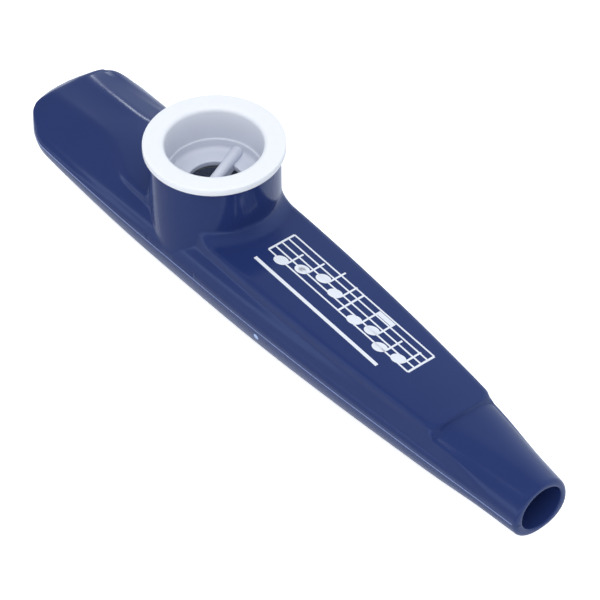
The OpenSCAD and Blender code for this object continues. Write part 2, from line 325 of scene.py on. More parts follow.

# %% [markdown]
# The cap is white plastic, and the light goes a little way into it, which softens its shadows. Down in its
# cup the white is darkened to a cool grey by painted shade: an occlusion mask paints the shade that falls
# deep in the cup and in its corners. The ring under it is duller and grey, and the print is a satin white ink.
# The film is clear and thin: it lets most light straight through and only shows as a faint sheen with a few
# tension wrinkles.

# %% Finishes: white plastic, grey ring, print, clear film
white = plastic("white_plastic", (0.90, 0.895, 0.875), (0.92, 0.915, 0.895), 0.30, 0.00002, 0.02)
nodes, links = white.node_tree.nodes, white.node_tree.links
shell = nodes["Principled BSDF"]
# painted reflection tint: the white's reflections are tinted slightly blue, standing in for the bluish room
# light
shell.inputs["Specular Tint"].default_value = (0.9, 0.95, 1.0, 1)
# painted shade: the occlusion mask mixes the white toward a cool grey deep in the cup and in its corners
cup_shade_mask = nodes.new("ShaderNodeAmbientOcclusion")
cup_shade_mask.samples = 8
cup_shade_mask.inputs["Distance"].default_value = 0.014
painted_cup_shade = nodes.new("ShaderNodeMix")
painted_cup_shade.data_type = "RGBA"
painted_cup_shade.inputs["A"].default_value = (0.50, 0.53, 0.64, 1)
links.new(cup_shade_mask.outputs["AO"], painted_cup_shade.inputs["Factor"])
links.new(shell.inputs["Base Color"].links[0].from_socket, painted_cup_shade.inputs["B"])
links.new(painted_cup_shade.outputs["Result"], shell.inputs["Base Color"])
shell.inputs["Subsurface Weight"].default_value = 0.12
shell.inputs["Subsurface Scale"].default_value = 0.0008
shell.inputs["Subsurface Radius"].default_value = (1.0, 0.9, 0.8)

grey = plastic("ring_plastic", (0.26, 0.27, 0.29), (0.32, 0.33, 0.35), 0.5, 0.00005, 0.08)
print_white = plastic("print_white", (0.80, 0.81, 0.83), (0.85, 0.86, 0.87), 0.42, 0.00002, 0.05)

film_clear = bpy.data.materials.new("clear_film")
film_clear.use_nodes = True
nodes, links = film_clear.node_tree.nodes, film_clear.node_tree.links
shell = nodes["Principled BSDF"]
shell.inputs["Base Color"].default_value = (0.45, 0.50, 0.60, 1)
shell.inputs["Roughness"].default_value = 0.12
shell.inputs["Alpha"].default_value = 0.08
place = nodes.new("ShaderNodeTexCoord")
wrinkle = nodes.new("ShaderNodeTexNoise")
wrinkle.inputs["Scale"].default_value = 160
links.new(place.outputs["Object"], wrinkle.inputs["Vector"])
relief = nodes.new("ShaderNodeBump")
relief.inputs["Strength"].default_value = 0.3
relief.inputs["Distance"].default_value = 0.0002
links.new(wrinkle.outputs["Fac"], relief.inputs["Height"])
links.new(relief.outputs["Normal"], shell.inputs["Normal"])
print("finishes:", [m.name for m in (navy, seam_highlight_paint, pale_scar, white, grey, print_white, film_clear)])

# %% [markdown]
# The body changes all the way along, so it is described by a few curves: how wide it is, how deep the lower
# half is, and where the side edge, the foot and the top of the raised panel lie. Each curve is a short table
# of shares at the same places, joined smoothly. A sculpted mesh could look the same, but with tables one
# number moves one thing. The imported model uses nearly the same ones, and a few at the mouth are finer here.

# %% Curves of the body
PLACES = [0, 0.03, 0.11, 0.25, 0.38, 0.53, 0.68, 0.80, 0.86, 0.93, 1]
HALF = [0.978, 0.984, 0.999, 0.998, 0.959, 0.895, 0.789, 0.674, 0.614, 0.536, 0.463]
DEPTH = [0.4, 0.575, 0.79, 0.96, 1, 0.98, 0.858, 0.748, 0.678, 0.55, 0.512]
SIDE_Y = [0.83, 0.835, 0.875, 0.93, 0.953, 0.949, 0.942, 0.93, 0.925, 0.9, 0.9]
SIDE_Z = [0.4, 0.39, 0.345, 0.42, 0.49, 0.475, 0.453, 0.43, 0.42, 0.4, 0.4]
FOOT_Y = [0.62, 0.62, 0.64, 0.775, 0.818, 0.857, 0.878, 0.886, 0.884, 0.85, 0.85]
FOOT_Z = [0.395, 0.42, 0.5, 0.655, 0.712, 0.698, 0.69, 0.688, 0.684, 0.68, 0.68]
RIM_Y = [0.335, 0.335, 0.33, 0.74, 0.792, 0.842, 0.868, 0.873, 0.855, 0.84, 0.84]
RIM_Z = [0.45, 0.495, 0.64, 0.83, 0.975, 0.956, 0.93, 0.91, 0.9, 0.9, 0.9]
CROWN_Z = [0.440, 0.485, 0.630, 0.87, 1, 0.978, 0.952, 0.932, 0.922, 0.92, 0.92]
DOME = [0.76, 0.76, 0.76, 0.76, 0.76, 0.76, 0.77, 0.80, 0.815, 0.83, 0.82]
SQUARE = [2.6, 2.6, 2.6, 2.6, 2.6, 2.6, 2.6, 2.8, 3.2, 2.4, 2]
CORNER_R = 10.0
EDGE_CORNER_R = 3.6
FOOT_TRIM = 0.16
STEP_X = 102.0
STEP_LEN = 0.5
PANEL_CORNER_R = 1.6
SIDE_EDGE_R = 0.9
MOUTH_EDGE_R = 2.4
MOUTH_EDGE_TO = 26
WALL_BELLY = 0.17
CREST_TO = 15.0
CREST_BLEND = 14
FOOT_BEND_R = 0.35
PANEL_EDGE_R = 1.0


def slope(values, i):
    last = len(PLACES) - 1
    a, b = max(i - 1, 0), min(i + 1, last)
    return (values[b] - values[a]) / (PLACES[b] - PLACES[a])


def at(values, x):
    t = x / BODY_LEN
    i = 1
    while i < len(PLACES) - 1 and t >= PLACES[i]:
        i += 1
    w = PLACES[i] - PLACES[i - 1]
    u = (t - PLACES[i - 1]) / w
    return ((1 + 2 * u) * (1 - u) ** 2 * values[i - 1] + u * (1 - u) ** 2 * w * slope(values, i - 1)
            + u * u * (3 - 2 * u) * values[i] - u * u * (1 - u) * w * slope(values, i))


def ramp(u):
    u = min(max(u, 0.0), 1.0)
    return u * u * (3 - 2 * u)


def plain_half(x):
    return at(HALF, x) * HALF_W


def half_at(x):
    cut = CORNER_R - math.sqrt(CORNER_R ** 2 - (CORNER_R - x) ** 2) if x < CORNER_R else 0.0
    return plain_half(x) - cut


def depth_at(x):
    return at(DEPTH, x) * (LOWER_DEPTH + FOOT_TRIM)


for x in (0, 30, 60, 90, 120):
    print("at", x, "mm: half width", round(half_at(x), 2), "depth", round(depth_at(x), 2))

# %% [markdown]
# One cut across the upper half runs from the seam up the side, over the side edge, along the shoulder to the
# foot of the raised panel, up its edge and over to the middle. Every corner in it is a small bend, drawn with
# a curve through three points. Behind the step the cut is a plain dome. Both kinds have the same number
# of points, so that one can turn into the other: the panel over the short length of the step, and the
# shoulders beside it more slowly.

# %% Cuts across the upper half
BEND = 9
RUN = 5
CROWN_POINTS = 16
LOWER_POINTS = 44
SIDE_LINES = 1 + RUN + BEND
SHOULDER_FADE = 13.0
UPPER_SQUARE, LOWER_SQUARE = 2.6, 2.15


def bend(a, b, c, r):
    a, b, c = np.array(a), np.array(b), np.array(c)
    p = b + (a - b) * min(r / max(np.linalg.norm(a - b), 1e-6), 0.45)
    q = b + (c - b) * min(r / max(np.linalg.norm(c - b), 1e-6), 0.45)
    us = np.linspace(0, 1, BEND)
    return [(1 - u) ** 2 * p + 2 * u * (1 - u) * b + u * u * q for u in us]


def run(a, b):
    return [np.array(a) + (np.array(b) - np.array(a)) * u for u in np.linspace(0, 1, RUN + 2)[1:-1]]


def panel_cut(x):
    t = min(x, STEP_X) - (STEP_X - PANEL_CORNER_R)
    return 0.0 if t <= 0 else PANEL_CORNER_R - math.sqrt(max(0.0, PANEL_CORNER_R ** 2 - t * t))


def panel_points(x):
    w = plain_half(x)
    side = np.array((w * at(SIDE_Y, x), CROWN_H * at(SIDE_Z, x)))
    foot = np.array((w * at(FOOT_Y, x), CROWN_H * at(FOOT_Z, x)))
    crest_share = RIM_Y[0] + (at(RIM_Y, x) - RIM_Y[0]) * ramp((x - CREST_TO) / CREST_BLEND)
    rim = np.array((w * crest_share - panel_cut(x), CROWN_H * at(RIM_Z, x)))
    crown = np.array((0.0, CROWN_H * at(CROWN_Z, x)))
    edge = np.array((w, 0.0))
    side_r = SIDE_EDGE_R + (MOUTH_EDGE_R - SIDE_EDGE_R) * ramp(1 - x / MOUTH_EDGE_TO)
    at_side = bend(edge, side, foot, side_r)
    at_foot = bend(side, foot, rim, FOOT_BEND_R)
    at_rim = bend(foot, rim, crown, PANEL_EDGE_R)
    top = at_rim[-1]
    us = np.linspace(1, 0, CROWN_POINTS + 1)[1:]
    over = [np.array((top[0] * u, crown[1] - (crown[1] - top[1]) * u * u)) for u in us]
    belly = [p + np.array((WALL_BELLY * math.sin(math.pi * p[1] / at_side[0][1]), 0.0))
             for p in run(edge, at_side[0])]
    return ([edge] + belly + at_side + run(at_side[-1], at_foot[0]) + at_foot
            + run(at_foot[-1], at_rim[0]) + at_rim + over)


CUT_POINTS = len(panel_points(60.0))


def dome_points(x):
    w, h, n = half_at(x), at(DOME, x) * CROWN_H, at(SQUARE, x)
    turns = np.linspace(0, math.pi / 2, CUT_POINTS)
    return [np.array((w * max(math.cos(a), 0) ** (2 / n), h * math.sin(a) ** (2 / n))) for a in turns]


def upper_points(x):
    # the panel ends at the step, while the shoulder under it fades out along the round part
    if x <= STEP_X:
        return panel_points(x)
    step, fade = ramp((x - STEP_X) / STEP_LEN), ramp((x - STEP_X) / SHOULDER_FADE)
    points = []
    for i, (p, q) in enumerate(zip(panel_points(x), dome_points(x))):
        points.append(p + (q - p) * (fade + (step - fade) * ramp((i - SIDE_LINES) / (RUN + BEND))))
    return points


def lower_points(x):
    w, h = plain_half(x), depth_at(x)
    points = []
    for a in np.linspace(0, math.pi / 2, LOWER_POINTS):
        y, z = w * max(math.cos(a), 0) ** (2 / LOWER_SQUARE), -h * math.sin(a) ** (2 / LOWER_SQUARE)
        points.append((y, max(z, -LOWER_DEPTH)))
    return points


print("each half cut has", CUT_POINTS, "points")

# %% [markdown]
# The turret grows out of the body with a soft fillet. Two shapes pushed into each other would leave a hard
# crease, and a boolean with a bevel tends to tear where the turret is flush with the sides. So each cut that
# meets the turret is clipped at the turret's wall, lifted by the fillet on its way there, and then carried
# straight up the wall and over its top to the edge of the well. Cuts that miss the turret fold those extra
# points into one, and the doubles are merged at the end.

# %% Cuts through the turret
FILLET_R = 2.2
FILLET_MOUTH_R = 1.0
FILLET_BLEND = 16
FILLET_POINTS = 44
WALL_POINTS = 10
TOP_ROUND = 0.25


def fillet_at(x):
    return FILLET_MOUTH_R + (FILLET_R - FILLET_MOUTH_R) * ramp((x - TURRET_X + FILLET_BLEND / 2) / FILLET_BLEND)


def fillet_rise(d, r):
    d = min(max(d, 0.0), r)
    return r - math.sqrt(max(0.0, r ** 2 - (r - d) ** 2))


def lifted(p, x):
    rise = fillet_rise(math.hypot(x - TURRET_X, p[0]) - TURRET_R, fillet_at(x))
    return (p[0], p[1] + rise * ramp(p[1] / CROWN_H * 2 - 1))


def on_cut(cut, y):
    # the point of a cut that lies y away from the middle; y falls steadily along the cut
    if y >= cut[0][0]:
        return 0.0, cut[0]
    for i in range(1, len(cut)):
        if cut[i][0] <= y:
            a, b = cut[i - 1], cut[i]
            u = (a[0] - y) / max(a[0] - b[0], 1e-9)
            return i - 1 + u, a + (b - a) * u
    return len(cut) - 1.0, cut[-1]


def turret_cut(x):
    cut = upper_points(x)
    dx = abs(x - TURRET_X)
    foot_r = TURRET_R + fillet_at(x)
    foot_y = math.sqrt(foot_r ** 2 - dx ** 2) if dx < foot_r else 0.0
    stop, foot = on_cut(cut, foot_y)
    points = [lifted(foot if i > stop else p, x) for i, p in enumerate(cut)]
    for k in range(1, FILLET_POINTS + 1):
        rho = TURRET_R + fillet_at(x) * (1 - math.sin(math.pi / 2 * k / FILLET_POINTS))
        y = math.sqrt(rho ** 2 - dx ** 2) if rho > dx else 0.0
        points.append(lifted(on_cut(cut, y)[1], x))
    last = points[-1]
    inside = dx <= TURRET_R + 1e-6
    for k in range(1, WALL_POINTS + 1):
        z = last[1] + (TURRET_TOP - TOP_ROUND - last[1]) * k / WALL_POINTS
        points.append((last[0], z) if inside else last)
    for a in (30, 60, 90):
        rho = TURRET_R - TOP_ROUND * (1 - math.cos(math.radians(a)))
        z = TURRET_TOP - TOP_ROUND * (1 - math.sin(math.radians(a)))
        points.append((math.sqrt(max(rho ** 2 - dx ** 2, 0.0)), z) if inside else last)
    points.append((math.sqrt(max(WELL_R ** 2 - dx ** 2, 0.0)), TURRET_TOP) if inside else last)
    return points


print("a cut with all its extra points has", len(turret_cut(TURRET_X)))

# %% [markdown]
# The cuts stand close together where the shape turns fast: round the mouth end, through the turret, and
# at the step. Elsewhere half a millimetre apart is enough.

# %% Places of the cuts
MOUTH_TO = 14.0
TUBE_ROUND = 0.8
mouth_run = list(np.linspace(MOUTH_TO, TURRET_X - TURRET_R - FILLET_MOUTH_R, 44))
fillet_run = [1 - math.sin(math.pi / 2 * k / 16) for k in range(1, 16)]
through = [TURRET_X - TURRET_R * math.cos(math.pi * k / 120) for k in range(121)]
panel_run = list(np.linspace(TURRET_X + TURRET_R + FILLET_R, STEP_X - PANEL_CORNER_R, 90))
step_run = list(np.linspace(STEP_X - PANEL_CORNER_R, STEP_X + STEP_LEN, 29)[1:])
tube_run = list(np.linspace(STEP_X + STEP_LEN, BODY_LEN - TUBE_ROUND, 40)[1:])
STATIONS = (mouth_run + [TURRET_X - TURRET_R - FILLET_MOUTH_R * f for f in fillet_run] + through
            + [TURRET_X + TURRET_R + FILLET_R * f for f in reversed(fillet_run)]
            + panel_run + step_run + tube_run)
print(len(STATIONS), "cuts")

# %% [markdown]
# A small helper turns rows of points into a surface: neighbouring rows are joined by four-sided faces.
# Mirroring each row keeps both sides of the body the same. Points that fell together are merged, thin faces
# that fell into the middle plane are taken out, and the edges that bend by more than a set angle are marked
# sharp, so that light breaks only there.

# %% Helpers for surfaces


def strip(verts, faces, rows, flip=False):
    start = len(verts)
    n = len(rows[0])
    for row in rows:
        verts.extend(row)
    for j in range(len(rows) - 1):
        for i in range(n - 1):
            a = start + j * n + i
            quad = (a, a + 1, a + n + 1, a + n)
            faces.append(quad[::-1] if flip else quad)


def both_sides(verts, faces, rows, flip=False):
    strip(verts, faces, rows, flip)
    strip(verts, faces, [[(p[0], -p[1], p[2]) for p in row] for row in rows], not flip)


def lathe(verts, faces, profile, steps=160, closed=False):
    turns = [2 * math.pi * k / steps for k in range(steps + 1)]
    rings = []
    for r, z in (profile + profile[:1] if closed else profile):
        rings.append([to_scene(TURRET_X + r * math.cos(a), r * math.sin(a), z) for a in turns])
    strip(verts, faces, rings)


def make_piece(name, verts, faces, material, body, node=None, sharp=40.0):
    mesh = bpy.data.meshes.new(name)
    mesh.from_pydata([tuple(v) for v in verts], [], faces)
    bm = bmesh.new()
    bm.from_mesh(mesh)
    bmesh.ops.remove_doubles(bm, verts=bm.verts, dist=2e-6)
    bmesh.ops.dissolve_degenerate(bm, edges=bm.edges, dist=1e-6)
    # where the cuts enter and leave the turret, thin faces fall into the middle plane: they go
    in_middle = [f for f in bm.faces if max(abs(v.co.y) for v in f.verts) < 1e-7]
    bmesh.ops.delete(bm, geom=in_middle, context="FACES_ONLY")
    loose = [v for v in bm.verts if not v.link_faces]
    bmesh.ops.delete(bm, geom=loose, context="VERTS")
    bm.to_mesh(mesh)
    bm.free()
    mesh.shade_smooth()
    mesh.set_sharp_from_angle(angle=math.radians(sharp))
    mesh.materials.append(material)
    obj = bpy.data.objects.new(name, mesh)
    bpy.context.scene.collection.objects.link(obj)
    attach(obj, body)
    if node:
        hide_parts(node)
    print(name, "has", len(mesh.polygons), "faces")


# %% [markdown]
# The hollow inside shows through the round end, the blowing slot and, once the cap is out, the well. It is
# a smooth tube, drawn in from the outside by the wall. Both halves get their own part of it, with faces that
# look inwards.

# %% The hollow
WALL = 1.4
BORE_R = 3.8
TUBE_RISE = 0.65
HOLLOW_FROM = 3.5
HOLLOW_TO = 106.0
SLOT_HALF_W = 6.0
SLOT_UP = 1.7
SLOT_DOWN = 2.5
SEAT_HOLE_R = 5.6


def shares_of(points):
    steps = [math.dist(a, b) for a, b in zip(points, points[1:])]
    return np.concatenate(([0], np.cumsum(steps))) / sum(steps)


def along(points, shares):
    # the places on a line of points that lie at the given shares of its length
    own = shares_of(points)
    return list(zip(*(np.interp(shares, own, [p[k] for p in points]) for k in (0, 1))))


def roof_at(x):
    domed = CROWN_H + (at(DOME, x) * CROWN_H - CROWN_H) * ramp(x / STEP_X * 4 - 3)
    return min(CROWN_H * at(CROWN_Z, x), domed)


def hollow_line(x, upper):
    w = half_at(x) - WALL
    h = (roof_at(x) if upper else depth_at(x)) - WALL
    n, sign = (UPPER_SQUARE, 1) if upper else (LOWER_SQUARE, -1)
    points = []
    for a in np.linspace(0, math.pi / 2, 90):
        y, z = w * max(math.cos(a), 0) ** (2 / n), sign * h * math.sin(a) ** (2 / n)
        hole = SEAT_HOLE_R ** 2 - (x - TURRET_X) ** 2
        if upper and hole > 0:
            y = max(y, math.sqrt(hole))
        points.append((y, z))
    return points


def slot_edge(y, upper):
    # how far above or below the seam the blowing slot reaches at y
    share = math.sqrt(1 - min(y / SLOT_HALF_W, 1.0) ** 6)
    return SLOT_UP * share if upper else -SLOT_DOWN * share


def slot_line(upper):
    return [(y, slot_edge(y, upper)) for y in SLOT_HALF_W * np.sin(np.linspace(math.pi / 2, 0, 60))]


def bore_line(upper, r=BORE_R):
    # from the seam over the top or under the bottom of the bore, whose axis lies a little above the seam
    start = math.asin(-TUBE_RISE / r)
    return [(r * math.cos(a), TUBE_RISE + r * math.sin(a))
            for a in np.linspace(start, math.pi / 2 if upper else -math.pi / 2, 60)]


def hollow_rows(upper):
    even = np.linspace(0, 1, 40)
    rows = [[to_scene(x, *p) for p in along(hollow_line(x, upper), even)]
            for x in np.linspace(HOLLOW_FROM, HOLLOW_TO, 150)]
    slot_end = [[to_scene(HOLLOW_FROM, *p) for p in along(slot_line(upper), even)]]
    bore_start = [[to_scene(HOLLOW_TO, *p) for p in along(bore_line(upper), even)]]
    return slot_end + rows + bore_start


print("the hollow has", len(hollow_rows(True)), "rows")

# %% [markdown]
# The mouth end is a flat bill with rounded corners. Cuts straight across it would run along its front and
# leave a kink there, so near the mouth the lines of the body are bent instead: each line that runs along
# the side turns round the corner and goes on along the front to the middle. Lines low on the wall take a wide
# corner and the line along the top edge takes a tighter one. The blowing slot is simply where the lowest
# line keeps away from the seam.

# %% Mouth end
CORNER_MIN_R = 0.3
STRAIGHT_POINTS, TURN_POINTS, FRONT_POINTS = 14, 32, 24
SLOT_FROM_POINT = 20
FIRST_CUT = 4.0


def mouth_path(inset, edge_inset, lean, line):
    # the way of one line, from straight cuts at MOUTH_TO round the corner to the middle of the front
    wall_share = min(inset / edge_inset, 1.0)
    r = CORNER_R + (EDGE_CORNER_R - CORNER_R) * wall_share - max(inset - edge_inset, 0.0)
    r = max(r, CORNER_MIN_R)
    corner_x = inset * lean + r
    corner_y = line(corner_x)
    r = min(r, corner_y)
    way = [(x, line(x)) for x in np.linspace(MOUTH_TO, corner_x, STRAIGHT_POINTS)]
    way += [(corner_x - r * math.sin(a), corner_y - r * (1 - math.cos(a)))
            for a in np.radians(np.linspace(0, 90, TURN_POINTS)[1:])]
    way += [(corner_x - r, y) for y in np.linspace(corner_y - r, 0, FRONT_POINTS)[1:]]
    return way


def height_on(cut, y):
    return np.interp(y, [p[0] for p in reversed(cut)], [p[1] for p in reversed(cut)])


def mouth_rows(upper):
    cut_at = panel_points if upper else lower_points
    first = cut_at(MOUTH_TO)
    wall = plain_half(0)
    edge_inset = wall * (1 - at(SIDE_Y, 0)) if upper else wall
    if upper:
        insets = [plain_half(FIRST_CUT) - q[0] for q in cut_at(FIRST_CUT)]
    else:
        insets = [wall * (1 - p[0] / first[0][0]) for p in first]
    lean = 1.0 if upper else 0.5
    ways = [mouth_path(a, edge_inset, lean, lambda x, i=i: cut_at(x)[i][0]) for i, a in enumerate(insets)]
    rows = []
    for k in range(len(ways[0])):
        places = [way[k] for way in ways]
        low = slot_edge(places[0][1], upper) if k > SLOT_FROM_POINT else 0.0
        if upper:
            x, y = places[SIDE_LINES - 1]
            rim_z = height_on(cut_at(x), y)
            own = cut_at(max(places[0][0], FIRST_CUT))
            zs = [low + (rim_z - low) * own[i][1] / own[SIDE_LINES - 1][1] for i in range(SIDE_LINES)]
            zs += [height_on(cut_at(x), y) for x, y in places[SIDE_LINES:]]
        else:
            zs = [low + (-depth_at(x) - low) * (p[1] / first[-1][1]) for (x, y), p in zip(places, first)]
        rows.append([(x, y, z) for (x, y), z in zip(places, zs)])
    return rows[::-1]


print("each line round the mouth has", len(mouth_rows(True)), "points")

# %% [markdown]
# At the round end the skin rolls over into the bore: first round the outer edge, then a flat lip, then a
# small bend into the hole. A bevel on a finished mesh would need clean edges to work on, so the rows of
# points are led round the bends here.

# %% Ends of the body
BORE_LIP = 0.3


def tube_end_rows(outer, upper):
    bore = along(bore_line(upper), shares_of(outer))
    wide = along(bore_line(upper, BORE_R + BORE_LIP), shares_of(outer))
    middle = np.array((0, TUBE_RISE))
    rows = []
    for a in np.radians(np.linspace(0, 90, 9)):
        x, shrink = BODY_LEN - TUBE_ROUND + TUBE_ROUND * math.sin(a), TUBE_ROUND * (1 - math.cos(a))
        ring = []
        for p in outer:
            q = np.array(p) - middle
            q = q * (1 - shrink / np.linalg.norm(q)) + middle
            ring.append(to_scene(x, q[0], max(q[1], 0) if upper else min(q[1], 0)))
        rows.append(ring)
    for a in np.radians(np.linspace(0, 90, 5)):
        share = 1 - math.sin(a)
        rows.append([to_scene(BODY_LEN - BORE_LIP * (1 - math.cos(a)), q[0] + (r[0] - q[0]) * share,
                              q[1] + (r[1] - q[1]) * share) for q, r in zip(bore, wide)])
    rows.append([to_scene(HOLLOW_TO, *q) for q in bore])
    return rows


print("the lip round the bore is", BORE_LIP, "mm")

# %% [markdown]
# The upper half is put together from its skin with the turret, its share of the hollow, both ends, and the
# well that the cap sits in, which is turned like a pot on a wheel: its wall, the ledge that carries the
# ring, and the hole down into the body.

# %% Upper half
WELL_BEND = 0.15
LEDGE_BEND = 0.2
LEDGE_BOTTOM = 4.9
SHELL_SHARP = 32
verts, faces = [], []
mouth_up = mouth_rows(True)
both_sides(verts, faces, [[to_scene(*p) for p in row] for row in mouth_up], flip=True)
both_sides(verts, faces, [[to_scene(x, *p) for p in turret_cut(x)] for x in STATIONS], flip=True)
slot_edge_up = [row[0] for row in mouth_up if row[0][1] < SLOT_HALF_W]
both_sides(verts, faces, [[to_scene(*p) for p in slot_edge_up],
                          [to_scene(HOLLOW_FROM, p[1], p[2]) for p in slot_edge_up]])
both_sides(verts, faces, hollow_rows(True))
both_sides(verts, faces, tube_end_rows([tuple(p) for p in upper_points(STATIONS[-1])], True), flip=True)
lathe(verts, faces, [(WELL_R, TURRET_TOP), (WELL_R, SEAT_TOP + WELL_BEND), (WELL_R - WELL_BEND, SEAT_TOP),
                     (SEAT_HOLE_R + LEDGE_BEND, SEAT_TOP), (SEAT_HOLE_R, SEAT_TOP - LEDGE_BEND),
                     (SEAT_HOLE_R, LEDGE_BOTTOM)])
make_piece("upper_half", verts, faces, navy, "body", "upper_shell", SHELL_SHARP)

# %% [markdown]
# The lower half is a plain boat. Its cut is a rounded curve from the seam down to the keel, and the keel is
# worn flat where it stands on the table. Where two mouldings meet, one always stands out by a hair. That is the
# fine bright line along the body: here it is a thin bead of its own that follows the seam, and its pale colour
# is a painted highlight.

# %% Lower half
verts, faces = [], []
mouth_down = mouth_rows(False)
both_sides(verts, faces, [[to_scene(*p) for p in row] for row in mouth_down])
both_sides(verts, faces, [[to_scene(x, *p) for p in lower_points(x)] for x in STATIONS])
slot_edge_down = [row[0] for row in mouth_down if row[0][1] < SLOT_HALF_W]
both_sides(verts, faces, [[to_scene(*p) for p in slot_edge_down],
                          [to_scene(HOLLOW_FROM, p[1], p[2]) for p in slot_edge_down]], flip=True)
both_sides(verts, faces, hollow_rows(False), flip=True)
both_sides(verts, faces, tube_end_rows(lower_points(STATIONS[-1]), False))
make_piece("lower_half", verts, faces, navy, "body", "lower_shell", SHELL_SHARP)

BEAD_UP, BEAD_OUT, BEAD_IN = 0.13, 0.05, 0.1
seam_line = [row[0][:2] for row in mouth_up if row[0][1] > SLOT_HALF_W]
seam_line += [(x, plain_half(x)) for x in STATIONS[1:]]
bead_rows = []
for i, (x, y) in enumerate(seam_line):
    before, after = seam_line[max(i - 1, 0)], seam_line[min(i + 1, len(seam_line) - 1)]
    out = Vector((before[1] - after[1], after[0] - before[0])).normalized()
    arch = [(-BEAD_IN + (BEAD_IN + BEAD_OUT) * math.cos(a), BEAD_UP * math.sin(a))
            for a in np.linspace(-math.pi / 2, math.pi / 2, 9)]
    bead_rows.append([to_scene(x + out.x * r, y + out.y * r, z) for r, z in arch])
verts, faces = [], []
both_sides(verts, faces, bead_rows, flip=True)
make_piece("seam_bead", verts, faces, seam_highlight_paint, "body", None, 60)

# %% [markdown]
# On the near side, just under the seam, a pale dot shows where the plastic was injected into the mould and
# snapped off. It is a small round scar that stands a few hundredths of a millimetre out of the side.

# %% Gate mark
GATE_X, GATE_Z, GATE_R = 64.8, -1.4, 0.55
GATE_RINGS = ((0, 0.06), (0.5, 0.06), (0.8, 0.05), (1, -0.02))


def on_near_side(x, z, lift):
    cut = lower_points(x)
    y = np.interp(-z, [-p[1] for p in cut], [p[0] for p in cut])
    return to_scene(x, -y - lift, z)


verts, faces = [], []
scar = []
for share, lift in GATE_RINGS:
    scar.append([on_near_side(GATE_X + GATE_R * share * math.cos(a),
                              GATE_Z + GATE_R * share * math.sin(a), lift)
                 for a in np.linspace(0, 2 * math.pi, 25)])
strip(verts, faces, scar)
make_piece("gate_mark", verts, faces, pale_scar, "body", None, 50)

# %% [markdown]
# The deck carries a white print. Pad printing lays down a film of ink a few hundredths of a millimetre thick,
# so it is drawn here as thin flat shapes that hover just over the deck and follow its slight crown. The
# print is an ornament of this lesson's own: a staff of five lines with a few notes, and a plain line below.
# It could be painted in the material instead, but real shapes stay sharp at any distance.

# %% Print on the deck
PRINT_LIFT = 0.025
STAFF_FROM, STAFF_TO = 57.5, 91.0
STAFF_LOW = -1.2
STAFF_GAP = 1.3
STAFF_LINES = 5
LINE_W, BAR_LINE_W, STEM_W, BEAM_W, PLAIN_LINE_W = 0.28, 0.40, 0.36, 0.85, 0.60
BAR_LINES = (STAFF_FROM, 74.5, STAFF_TO)
HEAD_LONG, HEAD_TALL = 1.30, 0.92
HEAD_POINTS = 28
HEAD_COS, HEAD_SIN = 0.94, 0.34
STEM_ASIDE, STEM_FROM, STEM_LONG = 1.15, 0.3, 2.7
BEAMED = (77.6, 81.0)
BEAM_FROM, BEAM_TO, BEAM_AT, BEAMED_STEM_TO = 78.57, 82.33, 3.5, 3.6
NOTES = ((60.6, 0), (64.2, 1), (67.8, 2), (71.4, 1.5), (77.6, 0.5), (81.0, 1), (84.4, 0), (88.0, 0.5))
PLAIN_LINE_Y, PLAIN_LINE_SHORT = -3.9, 4
INK_STEP = 0.6


def on_deck(x, y):
    return to_scene(x, y, height_on(panel_points(x), abs(y)) + PRINT_LIFT)


def printed_bar(verts, faces, a, b, width):
    # a straight bar of ink from a to b
    a, b = Vector(a), Vector(b)
    side = (b - a).normalized().orthogonal() * width / 2
    steps = max(2, int((b - a).length / INK_STEP))
    middles = [a + (b - a) * k / steps for k in range(steps + 1)]
    strip(verts, faces, [[on_deck(*(m - side * k)) for k in (1, 0, -1)] for m in middles])


def printed_head(verts, faces, x, y):
    start = len(verts)
    verts.append(on_deck(x, y))
    for k in range(HEAD_POINTS):
        a = 2 * math.pi * k / HEAD_POINTS
        u, v = HEAD_LONG * math.cos(a), HEAD_TALL * math.sin(a)
        verts.append(on_deck(x + u * HEAD_COS - v * HEAD_SIN, y + u * HEAD_SIN + v * HEAD_COS))
    faces.extend((start, start + 1 + k, start + 1 + (k + 1) % HEAD_POINTS) for k in range(HEAD_POINTS))


def line_y(step):
    return STAFF_LOW + STAFF_GAP * step


verts, faces = [], []
for step in range(STAFF_LINES):
    printed_bar(verts, faces, (STAFF_FROM, line_y(step)), (STAFF_TO, line_y(step)), LINE_W)
for x in BAR_LINES:
    printed_bar(verts, faces, (x, line_y(0)), (x, line_y(STAFF_LINES - 1)), BAR_LINE_W)
for x, step in NOTES:
    printed_head(verts, faces, x, line_y(step))
    top = line_y(BEAMED_STEM_TO) if x in BEAMED else line_y(step + STEM_LONG)
    printed_bar(verts, faces, (x + STEM_ASIDE, line_y(step) + STEM_FROM), (x + STEM_ASIDE, top), STEM_W)
printed_bar(verts, faces, (BEAM_FROM, line_y(BEAM_AT)), (BEAM_TO, line_y(BEAM_AT)), BEAM_W)
plain_to = STAFF_TO - PLAIN_LINE_SHORT
printed_bar(verts, faces, (STAFF_FROM, PLAIN_LINE_Y), (plain_to, PLAIN_LINE_Y), PLAIN_LINE_W)
make_piece("staff_print", verts, faces, print_white, "body", None, 60)

# %% [markdown]
# The cap is one white moulding: a flange that lies on the turret, a cup that reaches down into it, a floor
# with a round hole and a grip bar across. It is a turned shape, so its outline is drawn once and spun.
# Every edge of the outline is rounded, because a moulded edge always shows a thin highlight.

# %% Cap
FLANGE_R = 11.3
FLANGE_TOP = 18.2
CUP_R = 8.8
CUP_BORE_R = 7.8
CAP_BOTTOM = 9.0
FLOOR_TOP = 10.0
CAP_HOLE_R = 4.5
CUP_STEP, CUP_STEP_Z = 0.3, 12.0
CUP_FOOT, CUP_FOOT_Z = 1.0, 10.4


